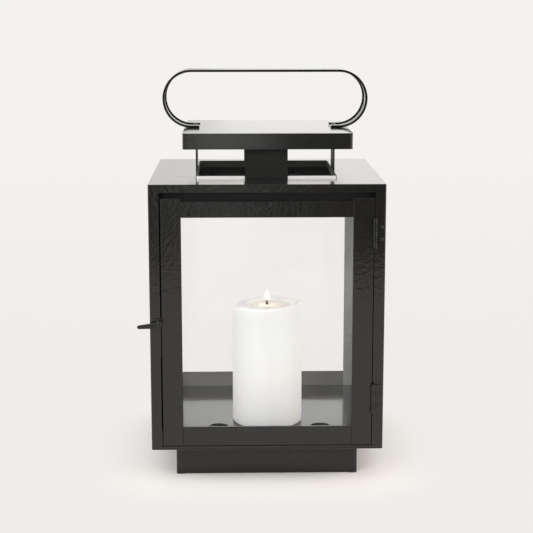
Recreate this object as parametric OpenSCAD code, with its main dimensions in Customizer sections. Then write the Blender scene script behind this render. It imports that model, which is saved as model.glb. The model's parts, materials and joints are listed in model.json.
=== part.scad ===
// Square table lantern: sheet metal body with four glass walls, a hinged front door,
// a raised vent cap with a strap handle, and a pillar candle.
// Millimetres, +Z up. Origin on the ground under the middle of the body, door towards -Y.

/* [Body] */
// Width of the body over its corner posts
body_w = 233; // [210:1:280]
// Depth of the body over its corner posts
body_d = 232; // [210:1:280]
// Height of the body from the underside of the base plate to the top of the roof
body_h = 269.1; // [230:1:320]
// Thickness of all folded sheet
sheet = 1.2; // [0.8:0.1:1.6]
// Outer radius of the posts' corner fold and of the roof and base plate corners
corner_r = 1.8; // [1.5:0.1:4]
// Length of the post legs that frame the rear and side glass
post_leg = 22.2; // [18:0.5:30]
// Height of the bottom rails at the rear and sides
bottom_rail_h = 17.5; // [14:0.5:26]
// Height of the top rails at the rear and sides
top_rail_h = 20.5; // [16:0.5:26]

/* [Base] */
// Width of the inset skirt under the body
skirt_w = 186; // [150:1:200]
// Depth of the inset skirt under the body
skirt_d = 186; // [150:1:200]
// Height of the skirt
skirt_h = 32.8; // [20:0.5:50]
// Thickness of the skirt sheet
skirt_t = 1.5; // [1:0.1:2]
// Width of the flange that turns in under the base plate
skirt_flange = 10; // [6:0.5:16]
// Outer corner radius of the skirt
skirt_r = 3; // [2:0.5:5]
// Height of the rubber pads under the skirt
pad_h = 0.6; // [0.5:0.1:3]
// Side of each square rubber pad
pad_w = 9; // [6:0.5:14]
// Clearance of the pads inside the skirt
pad_clear = 0.1; // [0.05:0.05:0.3]
// Height of the part of each pad that grips inside the skirt corner
pad_grip_h = 5; // [3:0.5:10]

/* [Air holes] */
// Diameter of the two air holes in the base plate
air_hole_d = 20; // [12:0.5:26]
// Distance of each air hole from the middle between them
air_hole_x = 54; // [46:0.5:64]
// Distance that the pair sits to the right of the lantern's middle
air_hole_shift = 4; // [0:0.5:6]
// Distance of the air holes in front of the lantern's middle
air_hole_y = 41; // [30:0.5:60]

/* [Front frame] */
// Width of the front posts' face beside the door
post_face_w = 10.5; // [8:0.1:16]
// Height of the front face of the bottom rail above the base plate
front_bottom_h = 2.6; // [2.4:0.1:8]
// Height of the front face of the top rail under the roof
front_top_h = 6.8; // [5:0.1:10]
// Width of the corner tabs that overlap the front top rail
corner_tab_w = 8.6; // [5:0.1:12]
// Distance that the door stops reach in behind the door
stop_reach = 4.5; // [3.5:0.1:7]
// Height that the top stop hangs below the face of the top rail
top_stop_h = 11; // [9:0.5:14]
// Height that the bottom stop stands above the face of the bottom rail
bottom_stop_h = 6; // [4:0.5:9]
// Width of the hemmed edge along the latch side of the opening
hem_w = 3; // [2:0.1:5]
// Thickness that the hem adds to the post
hem_t = 0.8; // [0.5:0.1:1]
// Height of the lower end of the hem above the door's lower edge
hem_low = 12; // [5:0.5:30]
// Distance of the upper end of the hem below the door's upper edge
hem_high = 10; // [5:0.5:30]
// Width of the lips that narrow the gap beside the door
lip_w = 0.6; // [0.4:0.05:0.7]
// Distance that the lips keep from the hinges and the latch bracket
lip_clear = 1.5; // [1:0.1:3]
// Height above the ground of the lower end of the open slot beside the latch stile
slot_low = 53.4; // [45:0.1:70]
// Height above the ground of the upper end of the open slot beside the latch stile
slot_high = 130.1; // [100:0.1:140]

/* [Door] */
// Gap around the door at its two sides
door_side_gap = 1.2; // [1.1:0.1:2]
// Gap under the door
door_low_gap = 0.4; // [0.4:0.1:3]
// Gap between the door and the face of the top rail
door_high_gap = 5.8; // [2:0.1:8]
// Depth of the door frame from its face to the edge of its side folds
door_t = 9; // [8.5:0.5:12]
// Clearance between the door and the stops behind it
stop_gap = 0.3; // [0.2:0.1:1]
// Width of the two upright door stiles
stile_w = 20.2; // [16:0.2:26]
// Height of the top door rail
door_top_rail_h = 16; // [12:0.5:24]
// Height that the stiles stand above the top door rail
stile_step = 2.9; // [1:0.1:5]
// Height of the bottom door rail
door_bottom_rail_h = 19.7; // [14:0.1:26]
// Depth of the fold around the door's glass opening
sight_fold = 3; // [2.5:0.1:4]

/* [Glass] */
// Thickness of the glass panes
glass_t = 2; // [1.5:0.1:2.5]
// Distance that each fixed pane laps behind its frame
pane_lap = 6; // [4:0.5:7]
// Distance that the door pane laps behind the door frame
door_pane_lap = 5; // [3:0.5:6]
// Width of each retaining clip
clip_w = 8; // [5:0.5:12]
// Thickness of the clip metal
clip_t = 1; // [0.6:0.1:1.2]
// Gap between a pane's edge and the clip that steps over it
clip_gap = 0.5; // [0.2:0.1:1]
// Length of the clip's foot on the frame
clip_foot = 7; // [4:0.5:8]
// Distance of the clips from the ends of each pane
clip_inset = 45; // [25:1:60]

/* [Hinges] */
// Height of each hinge
hinge_h = 30; // [20:1:45]
// Height of the middle of the lower hinge above the ground
lower_hinge_z = 85.6; // [75:0.1:110]
// Height of the middle of the upper hinge above the ground
upper_hinge_z = 254.2; // [200:0.1:260]
// Outer radius of the hinge knuckles
knuckle_r = 2.2; // [2:0.1:2.4]
// Radius of the hinge pins
hinge_pin_r = 1.1; // [0.9:0.05:1.2]
// Running clearance of the pins in the knuckles
pin_clear = 0.06; // [0.03:0.01:0.1]
// Gap between neighbouring knuckles
knuckle_gap = 0.2; // [0.1:0.05:0.4]
// Gap between the knuckles and the flat of the other leaf
leaf_clear = 0.4; // [0.3:0.05:0.6]
// Distance of the hinge axis in front of the door's face
hinge_axis_out = 2.3; // [2.2:0.1:2.8]
// Distance of the hinge axis from the door's side edge
hinge_axis_side = 1; // [0.9:0.1:1.3]
// Thickness of the frame leaf
frame_leaf_t = 1; // [0.8:0.1:1.2]
// Width of the frame leaf beyond the hinge axis
frame_leaf_w = 9; // [7:0.1:10]
// Thickness of the door leaf in the gap beside the door
door_leaf_t = 0.8; // [0.5:0.1:0.9]
// Depth of the door leaf behind the door's face
door_leaf_depth = 7; // [5:0.5:8]
// Radius of the hinge rivets
rivet_r = 1.2; // [0.8:0.1:1.5]
// Radius of the hinge rivet heads
rivet_head_r = 1.9; // [1.5:0.1:2.2]
// Height of the hinge rivet heads
rivet_head_h = 0.8; // [0.5:0.1:1]
// Distance of the two rivets of a hinge from its middle
rivet_spread = 6.2; // [5:0.1:9]
// Distance of the rivets from the hinge axis
rivet_out = 6.6; // [5:0.1:7]
// Clearance of fixed rivets and studs in their holes
rivet_clear = 0.05; // [0.03:0.01:0.1]

/* [Latch] */
// Height of the latch pivot above the ground
latch_z = 164.4; // [130:0.1:200]
// Distance of the latch pivot beyond the door's left edge
latch_pivot_out = 2; // [2:0.1:3]
// Thickness of the latch bracket
bracket_t = 0.8; // [0.5:0.1:0.9]
// Height of the latch bracket
bracket_h = 10; // [8:0.5:16]
// Reach of the bracket beyond the door's left edge
bracket_out = 5.9; // [5.5:0.1:7]
// Gap between the frame face and the back of the bracket
bracket_gap = 1.4; // [1.2:0.1:2]
// Depth of the bracket's leg on the door's side
bracket_depth = 6; // [4:0.5:7]
// Thickness of the latch lever
lever_t = 1.6; // [1.2:0.1:2.5]
// Gap between the lever and the bracket
lever_gap = 0.2; // [0.1:0.05:0.5]
// Radius of the round head of the lever
lever_head_r = 3.6; // [3:0.1:4]
// Height of the arm's upper edge above the pivot where it leaves the head
lever_neck = 3.2; // [2.5:0.1:3.4]
// Length of the lever from its pivot to the end of its finger tail
lever_len = 22; // [18:0.5:30]
// Height of the lever's arm where it crosses the post
lever_arm_h = 5.2; // [4.5:0.1:6.5]
// Height of the lever's finger tail at its end
lever_tail_h = 3.8; // [3:0.1:4.5]
// Drop of the finger tail's middle below the pivot
lever_tail_drop = 3; // [2:0.1:4]
// Radius of the latch rivet
latch_rivet_r = 1.4; // [1:0.1:1.8]
// Running clearance of the lever on its rivet
lever_clear = 0.07; // [0.03:0.01:0.1]
// Radius of the latch rivet's head
latch_head_r = 2.6; // [2.2:0.1:3]
// Height of the latch rivet's head
latch_head_h = 1.1; // [0.8:0.1:1.5]
// Radius of the stud that the lever drops over
stud_r = 1.2; // [1:0.05:1.4]
// Distance of the stud from the pivot, towards the post's outer edge
stud_x = 6; // [5.8:0.1:6.4]
// Distance of the stud below the pivot
stud_drop = 3.6; // [3.4:0.1:4]
// Clearance around the stud in the lever's notch
notch_clear = 0.4; // [0.3:0.05:0.6]

/* [Vent and cap] */
// Outer side of the square vent collar in the roof
collar_w = 142; // [110:1:148]
// Height of the collar above the roof
collar_h = 3; // [2:0.1:8]
// Depth of the collar below the top of the roof
collar_drop = 4; // [2:0.1:8]
// Outer corner radius of the collar
collar_r = 2.5; // [2:0.1:5]
// Width of each cap support
support_w = 43; // [30:1:60]
// Width of the flange at the top of each cap support
support_flange = 12; // [8:0.5:20]
// Side of the square cap
cap_w = 169.4; // [158:1:200]
// Height of the cap's skirt
cap_skirt = 15.9; // [8:0.5:25]
// Gap between the roof and the lower edge of the cap
vent_gap = 30.9; // [20:0.5:50]
// Outer corner radius of the cap
cap_r = 3.5; // [2:0.1:8]
// Distance that the cap sits to the right of the lantern's middle
cap_shift = 1.2; // [0:0.1:3]

/* [Handle] */
// Width of the handle strap
strap_w = 38; // [25:1:50]
// Thickness of the handle strap at its rolled edges
strap_t = 2.4; // [2.2:0.1:3]
// Width of each rolled edge of the handle strap
roll_w = 2.4; // [1.5:0.1:4]
// Thickness of the handle strap between its rolled edges
web_t = 1.2; // [0.8:0.1:1.4]
// Height of the handle loop above the cap
handle_h = 59.7; // [45:1:80]
// Overall width of the handle loop
handle_w = 212; // [210:1:230]
// Length of each flat foot of the handle on the cap
foot_len = 8; // [8:0.5:14]
// Radius of the handle rivets
handle_rivet_r = 1.7; // [1.2:0.1:2.2]
// Radius of the handle rivet heads
handle_head_r = 2.6; // [2.3:0.1:2.9]
// Height of the handle rivet heads
handle_head_h = 0.7; // [0.5:0.1:0.8]
// Distance of each handle rivet from the middle of the strap
handle_rivet_y = 11; // [7:0.5:12]
// Distance of the handle rivets from the start of the loop's bend
handle_rivet_in = 3; // [3:0.1:5]

/* [Candle] */
// Diameter of the candle
candle_d = 74; // [60:1:84]
// Height of the candle
candle_h = 128.8; // [80:1:150]
// Distance of the candle to the right of the lantern's middle
candle_x = 2; // [-4:0.5:4]
// Distance of the candle in front of the lantern's middle
candle_y = 18; // [0:0.5:24]
// Radius of the candle's worn top edge
candle_shoulder = 5; // [2:0.5:8]
// Radius of the candle's foot edge
candle_foot_r = 3; // [1:0.5:6]
// Diameter of the melt pool
pool_d = 45; // [30:1:50]
// Depth of the melt pool
pool_depth = 2.5; // [1:0.1:4]
// Diameter of the wick
wick_d = 2.6; // [1.6:0.1:4]
// Height of the wick above the bottom of the melt pool
wick_out = 7; // [4:0.5:12]
// Clearance of the wick in the wax
wick_clear = 0.05; // [0.03:0.01:0.1]

/* [Hidden] */

black = [0.13, 0.13, 0.125];
steel = [0.2, 0.2, 0.2];
zinc = [0.75, 0.75, 0.74];
clear_glass = [0.8, 0.86, 0.86, 0.3];
white_wax = [0.95, 0.93, 0.9];

$fn = 48;
small_fn = 32;
// Length by which a cutting or joining shape runs past its neighbour
cut = 1;
// Angle between the points of a rivet's domed head
dome_step = 15;

// Heights
plate_z = pad_h + skirt_h;
floor_z = plate_z + sheet;
roof_top = plate_z + body_h;
roof_low = roof_top - sheet;
cap_low = roof_top + vent_gap;
cap_top = cap_low + cap_skirt;
handle_top = cap_top + handle_h;

// Front frame and door
front_y = -body_d / 2;
open_x = body_w / 2 - post_face_w;
door_x = open_x - door_side_gap;
door_low = floor_z + front_bottom_h + door_low_gap;
door_high = roof_low - front_top_h - door_high_gap;
sight_x = door_x - stile_w;
sight_low = door_low + door_bottom_rail_h;
sight_high = door_high - stile_step - door_top_rail_h;
stop_y = front_y + door_t + stop_gap;

// Rear and side windows
window_low = floor_z + bottom_rail_h;
window_high = roof_low - top_rail_h;

// Hinges
hinge_x = door_x + hinge_axis_side;
hinge_y = front_y - hinge_axis_out;
knuckles = 5;
lip_hinge = hinge_h / 2 + rivet_head_h + lip_clear;

// Latch
pivot_x = -door_x - latch_pivot_out;
bracket_y = front_y - bracket_gap - bracket_t;
lever_y = bracket_y - lever_gap - lever_t;
notch_wall = -stud_x - stud_r - notch_clear;
notch_roof = -stud_drop + stud_r + notch_clear;

// Handle
bend_r = handle_h / 2;
bend_x = handle_w / 2 - bend_r;
handle_rivet_x = bend_x - handle_rivet_in;

// Candle
candle_r = candle_d / 2;
candle_top = floor_z + candle_h;
pool_z = candle_top - pool_depth;

// A folded sheet profile: the middle line p of the metal, drawn t thick with round folds
module folded(p, t) {
    for (i = [0 : len(p) - 2]) {
        d = p[i + 1] - p[i];
        translate(p[i])
            rotate(atan2(d[1], d[0]))
                translate([0, -t / 2])
                    square([norm(d), t]);
    }
    for (i = [1 : len(p) - 2])
        translate(p[i]) circle(d = t);
}

// A flat plate with round corners, centred on Z, its underside at 0
module rounded_plate(w, d, r, h) {
    linear_extrude(h) rounded_outline(w, d, r);
}

module rounded_outline(w, d, r) {
    square([w - 2 * r, d], center = true);
    square([w, d - 2 * r], center = true);
    for (x = [-1, 1], y = [-1, 1])
        translate([x * (w / 2 - r), y * (d / 2 - r)]) circle(r = r);
}

// A square tube with round corners
module rounded_tube(w, d, r, t, h) {
    linear_extrude(h)
        difference() {
            rounded_outline(w, d, r);
            rounded_outline(w - 2 * t, d - 2 * t, r - t / 2);
        }
}

// An outline in X and Z, given a thickness in Y that starts at y0
module upright(y0, t) {
    translate([0, y0 + t, 0]) rotate([90, 0, 0]) linear_extrude(t) children();
}

// An outline in Y and Z, run along X from -half to half
module along_x(half) {
    translate([-half, 0, 0]) rotate([90, 0, 90]) linear_extrude(2 * half) children();
}

// A rivet along +Z from its shank's lower end, with a domed head of radius head_r on top
module rivet(r, length, head_r, head_h) {
    rotate_extrude($fn = small_fn)
        polygon(concat(
            [[0, 0], [r, 0], [r, length]],
            [for (a = [0 : dome_step : 90]) [head_r * cos(a), length + head_h * sin(a)]]));
}

// Rear and side walls. In a wall's own frame the outer face is y = 0 and outside is +Y.
module on_rear() { translate([0, body_d / 2, 0]) children(); }
module on_left() { translate([-body_w / 2, 0, 0]) rotate(90) children(); }
module on_right() { translate([body_w / 2, 0, 0]) rotate(-90) children(); }

module wall_rail(w, low, high) {
    color(black)
        translate([-(w / 2 - post_leg), -sheet, low])
            cube([w - 2 * post_leg, sheet, high - low]);
}

module wall_pane(w) {
    half = w / 2 - post_leg + pane_lap;
    color(clear_glass)
        translate([-half, -sheet - glass_t, window_low - pane_lap])
            cube([2 * half, glass_t, window_high - window_low + 2 * pane_lap]);
}

// Clip profile: the foot lies on the frame at y = 0, the finger reaches over a pane of
// thickness t whose edge is at x = 0, with the frame's metal on the +Y side
module clip_profile(t, lap) {
    translate([clip_gap, -clip_t]) square([clip_t + clip_foot, clip_t]);
    translate([clip_gap, -t - clip_t]) square([clip_t, t + clip_t]);
    translate([-lap + clip_gap, -t - clip_t]) square([lap + clip_t, clip_t]);
}

module wall_clips(w) {
    edge = w / 2 - post_leg + pane_lap;
    low = window_low - pane_lap;
    high = window_high + pane_lap;
    color(steel)
        for (side = [0, 1], z = [low + clip_inset, high - clip_inset])
            mirror([side, 0, 0])
                translate([edge, -sheet, z - clip_w / 2])
                    linear_extrude(clip_w) clip_profile(glass_t, pane_lap);
}

// Base

module base_skirt() {
    color(black)
        translate([0, 0, pad_h]) {
            rounded_tube(skirt_w, skirt_d, skirt_r, skirt_t, skirt_h);
            translate([0, 0, skirt_h - skirt_t])
                linear_extrude(skirt_t)
                    difference() {
                        rounded_outline(skirt_w, skirt_d, skirt_r);
                        square([skirt_w - 2 * skirt_flange, skirt_d - 2 * skirt_flange], center = true);
                    }
        }
}

module foot_pads() {
    inner_w = skirt_w - 2 * skirt_t - 2 * pad_clear;
    inner_d = skirt_d - 2 * skirt_t - 2 * pad_clear;
    color([0.08, 0.08, 0.08])
        for (x = [0, 1], y = [0, 1])
            mirror([x, 0, 0]) mirror([0, y, 0]) {
                linear_extrude(pad_h)
                    intersection() {
                        rounded_outline(skirt_w, skirt_d, skirt_r);
                        translate([skirt_w / 2 - pad_w, skirt_d / 2 - pad_w]) square(pad_w);
                    }
                linear_extrude(pad_h + pad_grip_h)
                    intersection() {
                        rounded_outline(inner_w, inner_d, skirt_r - skirt_t / 2);
                        translate([skirt_w / 2 - pad_w, skirt_d / 2 - pad_w]) square(pad_w);
                    }
            }
}

module base_plate() {
    color(black)
        translate([0, 0, plate_z])
            difference() {
                rounded_plate(body_w, body_d, corner_r, sheet);
                for (side = [-1, 1])
                    translate([side * air_hole_x + air_hole_shift, -air_hole_y, -cut])
                        cylinder(d = air_hole_d, h = sheet + 2 * cut);
            }
}

// Corner posts

// The corner of a body w by d filled in from its outer faces less inset
module filled_corner(inset, w, d) {
    translate([corner_r, inset]) square([w - corner_r, d - inset]);
    translate([inset, corner_r]) square([w - inset, d - corner_r]);
    translate([corner_r, corner_r]) circle(r = corner_r - inset);
}

// A right-angled fold, its outer corner at the origin, its legs a along X and b along Y
module corner_fold(a, b) {
    difference() {
        filled_corner(0, a, b);
        filled_corner(sheet, a + cut, b + cut);
    }
}

module front_post_profile() {
    o = sheet / 2;
    translate([-body_w / 2, front_y]) corner_fold(post_face_w, post_leg);
    folded([[-open_x - post_face_w / 2, front_y + o],
            [-open_x - o, front_y + o],
            [-open_x - o, stop_y + o],
            [-open_x + stop_reach, stop_y + o]], sheet);
}

module front_post() {
    translate([0, 0, floor_z])
        linear_extrude(roof_low - floor_z) front_post_profile();
    translate([-open_x - sheet, front_y, roof_low - front_top_h])
        cube([corner_tab_w + sheet, sheet, front_top_h]);
}

// Lips on the left post's edge, each from the lower to the upper height of its span
module edge_lips(spans) {
    for (span = spans)
        translate([-open_x - sheet / 2, front_y, span[0]])
            cube([lip_w + sheet / 2, sheet, span[1] - span[0]]);
}

module front_left_post() {
    color(black)
        difference() {
            union() {
                front_post();
                translate([-open_x - hem_w, front_y - hem_t, door_low + hem_low])
                    cube([hem_w, hem_t + sheet, door_high - hem_high - door_low - hem_low]);
                edge_lips([[door_low, slot_low], [slot_high, latch_z - bracket_h / 2 - lip_clear]]);
            }
            translate([pivot_x - stud_x, front_y - cut, latch_z - stud_drop])
                rotate([-90, 0, 0]) cylinder(r = stud_r + rivet_clear, h = sheet + 2 * cut, $fn = small_fn);
        }
}

module front_right_post() {
    color(black)
        difference() {
            mirror([1, 0, 0]) {
                front_post();
                edge_lips([[door_low, lower_hinge_z - lip_hinge],
                           [lower_hinge_z + lip_hinge, upper_hinge_z - lip_hinge],
                           [upper_hinge_z + lip_hinge, door_high]]);
            }
            for (z = [lower_hinge_z, upper_hinge_z], side = [-1, 1])
                translate([hinge_x + rivet_out, front_y - cut, z + side * rivet_spread])
                    rotate([-90, 0, 0]) cylinder(r = rivet_r + rivet_clear, h = sheet + 2 * cut, $fn = small_fn);
        }
}

module rear_post() {
    color(black)
        translate([body_w / 2, body_d / 2, floor_z])
            rotate(180)
                linear_extrude(roof_low - floor_z) corner_fold(post_leg, post_leg);
}

module rear_right_post() { rear_post(); }
module rear_left_post() { mirror([1, 0, 0]) rear_post(); }

// Rails

module front_bottom_rail() {
    color(black) {
        translate([-open_x, front_y, floor_z])
            cube([2 * open_x, sheet, front_bottom_h]);
        along_x(open_x - stop_reach)
            folded([[front_y + sheet / 2, floor_z + front_bottom_h - sheet / 2],
                    [stop_y + sheet / 2, floor_z + front_bottom_h - sheet / 2],
                    [stop_y + sheet / 2, floor_z + front_bottom_h + bottom_stop_h]], sheet);
    }
}

module front_top_rail() {
    face = open_x - corner_tab_w;
    low = roof_low - front_top_h;
    color(black) {
        translate([-face, front_y, low])
            cube([2 * face, sheet, front_top_h]);
        along_x(face)
            folded([[front_y + sheet / 2, low + sheet / 2],
                    [stop_y + sheet / 2, low + sheet / 2]], sheet);
        along_x(open_x - stop_reach)
            folded([[front_y + 3 * sheet / 2, low + sheet / 2],
                    [stop_y + sheet / 2, low + sheet / 2],
                    [stop_y + sheet / 2, low - top_stop_h]], sheet);
    }
}

module rear_bottom_rail() { on_rear() wall_rail(body_w, floor_z, window_low); }
module left_bottom_rail() { on_left() wall_rail(body_d, floor_z, window_low); }
module right_bottom_rail() { on_right() wall_rail(body_d, floor_z, window_low); }
module rear_top_rail() { on_rear() wall_rail(body_w, window_high, roof_low); }
module left_top_rail() { on_left() wall_rail(body_d, window_high, roof_low); }
module right_top_rail() { on_right() wall_rail(body_d, window_high, roof_low); }

// Fixed glass

module rear_glass() { on_rear() wall_pane(body_w); }
module left_glass() { on_left() wall_pane(body_d); }
module right_glass() { on_right() wall_pane(body_d); }

module glass_clips() {
    on_rear() wall_clips(body_w);
    on_left() wall_clips(body_d);
    on_right() wall_clips(body_d);
}

// Roof, vent and cap

module roof_plate() {
    color(black)
        translate([0, 0, roof_low])
            linear_extrude(sheet)
                difference() {
                    rounded_outline(body_w, body_d, corner_r);
                    rounded_outline(collar_w, collar_w, collar_r);
                }
}

module vent_collar() {
    color(zinc)
        translate([0, 0, roof_top - collar_drop])
            rounded_tube(collar_w, collar_w, collar_r, sheet, collar_drop + collar_h);
}

module cap_support(turn) {
    mid = collar_w / 2 + sheet / 2;
    color(black)
        rotate(turn)
            along_x(support_w / 2)
                folded([[-mid, roof_top],
                        [-mid, cap_top - 3 * sheet / 2],
                        [-mid + support_flange, cap_top - 3 * sheet / 2]], sheet);
}

module front_cap_support() { cap_support(0); }
module right_cap_support() { cap_support(90); }
module rear_cap_support() { cap_support(180); }
module left_cap_support() { cap_support(270); }

module handle_rivet_places() {
    for (x = [-1, 1], y = [-1, 1])
        translate([x * handle_rivet_x, y * handle_rivet_y, 0]) children();
}

module cap() {
    color(black)
        difference() {
            translate([cap_shift, 0, cap_low]) {
                rounded_tube(cap_w, cap_w, cap_r, sheet, cap_skirt);
                translate([0, 0, cap_skirt - sheet])
                    rounded_plate(cap_w, cap_w, cap_r, sheet);
            }
            handle_rivet_places()
                translate([0, 0, cap_top - sheet - cut])
                    cylinder(r = handle_rivet_r + rivet_clear, h = sheet + 2 * cut, $fn = small_fn);
        }
}

// Handle

// The handle's loop filled in, drawn inset from its outer edge
module filled_loop(inset) {
    square([2 * bend_x, 2 * (bend_r - inset)], center = true);
    for (side = [-1, 1])
        translate([side * bend_x, 0]) circle(r = bend_r - inset, $fn = 96);
}

// The handle's loop, t thick inwards from its outer edge, open between the two feet
module open_loop(t) {
    foot_x = bend_x - foot_len;
    translate([0, cap_top + bend_r])
        difference() {
            filled_loop(0);
            filled_loop(t);
            translate([-foot_x, -bend_r - cut]) square([2 * foot_x, t + 2 * cut]);
        }
}

module handle_strap() {
    color(black)
        difference() {
            union() {
                upright(-strap_w / 2, strap_w) open_loop(web_t);
                upright(-strap_w / 2, roll_w) open_loop(strap_t);
                upright(strap_w / 2 - roll_w, roll_w) open_loop(strap_t);
            }
            handle_rivet_places()
                translate([0, 0, cap_top - cut])
                    cylinder(r = handle_rivet_r + rivet_clear, h = web_t + 2 * cut, $fn = small_fn);
        }
}

module handle_rivets() {
    color(black)
        handle_rivet_places()
            translate([0, 0, cap_top - sheet])
                rivet(handle_rivet_r, sheet + web_t, handle_head_r, handle_head_h);
}

// Hinges. A knuckle with an even number belongs to the frame leaf, an odd one to the door leaf.

module knuckle_span(i, z) {
    step = hinge_h / knuckles;
    low = i == 0 ? 0 : knuckle_gap / 2;
    high = i == knuckles - 1 ? 0 : knuckle_gap / 2;
    translate([0, 0, z - hinge_h / 2 + i * step + low])
        linear_extrude(step - low - high) children();
}

module pin_bore(z) {
    translate([hinge_x, hinge_y, z - hinge_h / 2 - cut])
        cylinder(r = hinge_pin_r + pin_clear, h = hinge_h + 2 * cut, $fn = small_fn);
}

module frame_leaf(z) {
    plate_x = hinge_x + knuckle_r + leaf_clear;
    color(black)
        difference() {
            union() {
                translate([plate_x, front_y - frame_leaf_t, z - hinge_h / 2])
                    cube([hinge_x + frame_leaf_w - plate_x, frame_leaf_t, hinge_h]);
                for (i = [0 : 2 : knuckles - 1])
                    knuckle_span(i, z) {
                        translate([hinge_x, hinge_y]) circle(r = knuckle_r, $fn = small_fn);
                        translate([hinge_x, front_y - frame_leaf_t]) square([knuckle_r + cut, frame_leaf_t]);
                    }
            }
            pin_bore(z);
            for (side = [-1, 1])
                translate([hinge_x + rivet_out, front_y - frame_leaf_t - cut, z + side * rivet_spread])
                    rotate([-90, 0, 0])
                        cylinder(r = rivet_r + rivet_clear, h = frame_leaf_t + 2 * cut, $fn = small_fn);
        }
}

module door_leaf(z) {
    clear_y = hinge_y + knuckle_r + leaf_clear;
    color(black)
        difference() {
            union() {
                translate([door_x, clear_y, z - hinge_h / 2])
                    cube([door_leaf_t, front_y + door_leaf_depth - clear_y, hinge_h]);
                for (i = [1 : 2 : knuckles - 1])
                    knuckle_span(i, z) {
                        translate([hinge_x, hinge_y]) circle(r = knuckle_r, $fn = small_fn);
                        translate([door_x, hinge_y]) square([door_leaf_t, clear_y - hinge_y + cut]);
                    }
            }
            pin_bore(z);
        }
}

module hinge_pin(z) {
    head_r = hinge_pin_r + (knuckle_r - hinge_pin_r) / 2;
    color(black)
        translate([hinge_x, hinge_y, z - hinge_h / 2])
            rivet(hinge_pin_r, hinge_h, head_r, rivet_head_h);
}

module upper_frame_leaf() { frame_leaf(upper_hinge_z); }
module lower_frame_leaf() { frame_leaf(lower_hinge_z); }
module upper_door_leaf() { door_leaf(upper_hinge_z); }
module lower_door_leaf() { door_leaf(lower_hinge_z); }
module upper_hinge_pin() { hinge_pin(upper_hinge_z); }
module lower_hinge_pin() { hinge_pin(lower_hinge_z); }

module hinge_rivets() {
    color(black)
        for (z = [lower_hinge_z, upper_hinge_z], side = [-1, 1])
            translate([hinge_x + rivet_out, front_y + sheet, z + side * rivet_spread])
                rotate([90, 0, 0])
                    rivet(rivet_r, sheet + frame_leaf_t, rivet_head_r, rivet_head_h);
}

// Door

module door_stile() {
    o = sheet / 2;
    translate([0, 0, door_low])
        linear_extrude(door_high - door_low)
            folded([[-door_x + o, front_y + door_t],
                    [-door_x + o, front_y + o],
                    [-sight_x - o, front_y + o],
                    [-sight_x - o, front_y + sight_fold]], sheet);
}

module left_door_stile() { color(black) door_stile(); }
module right_door_stile() { color(black) mirror([1, 0, 0]) door_stile(); }

// A door rail whose deep fold is at height outer and whose sight fold is at height inner
module door_rail(outer, inner) {
    o = sheet / 2;
    turn = outer > inner ? 1 : -1;
    color(black)
        along_x(sight_x)
            folded([[front_y + door_t, outer - turn * o],
                    [front_y + o, outer - turn * o],
                    [front_y + o, inner + turn * o],
                    [front_y + sight_fold, inner + turn * o]], sheet);
}

module top_door_rail() { door_rail(door_high - stile_step, sight_high); }
module bottom_door_rail() { door_rail(door_low, sight_low); }

module door_glass() {
    half = sight_x + door_pane_lap;
    color(clear_glass)
        translate([-half, front_y + sight_fold, sight_low - door_pane_lap])
            cube([2 * half, glass_t, sight_high - sight_low + 2 * door_pane_lap]);
}

module door_clips() {
    t = sight_fold + glass_t - sheet;
    color(steel)
        for (side = [0, 1], z = [sight_low + clip_inset, sight_high - clip_inset])
            mirror([side, 0, 0])
                translate([sight_x + door_pane_lap, front_y + sheet, z - clip_w / 2])
                    linear_extrude(clip_w) mirror([0, 1]) clip_profile(t, door_pane_lap);
}

// Latch. The lever turns up about its rivet, and its notch lies over the stud when it is down.

module latch_bracket() {
    color(black)
        difference() {
            translate([0, 0, latch_z - bracket_h / 2])
                linear_extrude(bracket_h) {
                    translate([-door_x - bracket_out, bracket_y]) square([bracket_out, bracket_t]);
                    translate([-door_x - bracket_t, bracket_y])
                        square([bracket_t, front_y + bracket_depth - bracket_y]);
                }
            translate([pivot_x, bracket_y - cut, latch_z])
                rotate([-90, 0, 0])
                    cylinder(r = latch_rivet_r + rivet_clear, h = bracket_t + 2 * cut, $fn = small_fn);
        }
}

module latch_rivet() {
    color(black)
        translate([pivot_x, bracket_y + bracket_t, latch_z])
            rotate([90, 0, 0])
                rivet(latch_rivet_r, bracket_t + 2 * lever_gap + lever_t, latch_head_r, latch_head_h);
}

module lever_outline() {
    tail_r = lever_tail_h / 2;
    tail_x = -lever_len + tail_r;
    tail_z = -lever_tail_drop;
    arm_low = notch_roof - lever_arm_h / 2;
    circle(r = lever_head_r);
    translate([tail_x, tail_z]) circle(r = tail_r);
    polygon([[0, lever_neck],
             [notch_wall - stud_r, notch_roof + lever_arm_h / 2],
             [tail_x, tail_z + tail_r],
             [tail_x, tail_z - tail_r],
             [notch_wall, arm_low],
             [notch_wall, notch_roof],
             [0, notch_roof]]);
}

module latch_lever() {
    color(black)
        translate([pivot_x, 0, latch_z])
            upright(lever_y, lever_t)
                difference() {
                    lever_outline();
                    circle(r = latch_rivet_r + lever_clear, $fn = small_fn);
                }
}

module latch_stud() {
    out = front_y - lever_y + lever_gap;
    color(black)
        translate([pivot_x - stud_x, 0, latch_z - stud_drop])
            rotate([90, 0, 0])
                translate([0, 0, -front_y - sheet])
                    cylinder(r = stud_r, h = sheet + out, $fn = small_fn);
}

// Candle

module candle_outline() {
    high = candle_top - candle_shoulder;
    low = floor_z + candle_foot_r;
    translate([0, low]) square([candle_r, high - low]);
    translate([0, floor_z]) square([candle_r - candle_foot_r, candle_foot_r + cut]);
    translate([0, high - cut]) square([candle_r - candle_shoulder, candle_shoulder + cut]);
    translate([candle_r - candle_foot_r, low]) circle(r = candle_foot_r);
    translate([candle_r - candle_shoulder, high]) circle(r = candle_shoulder);
}

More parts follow.
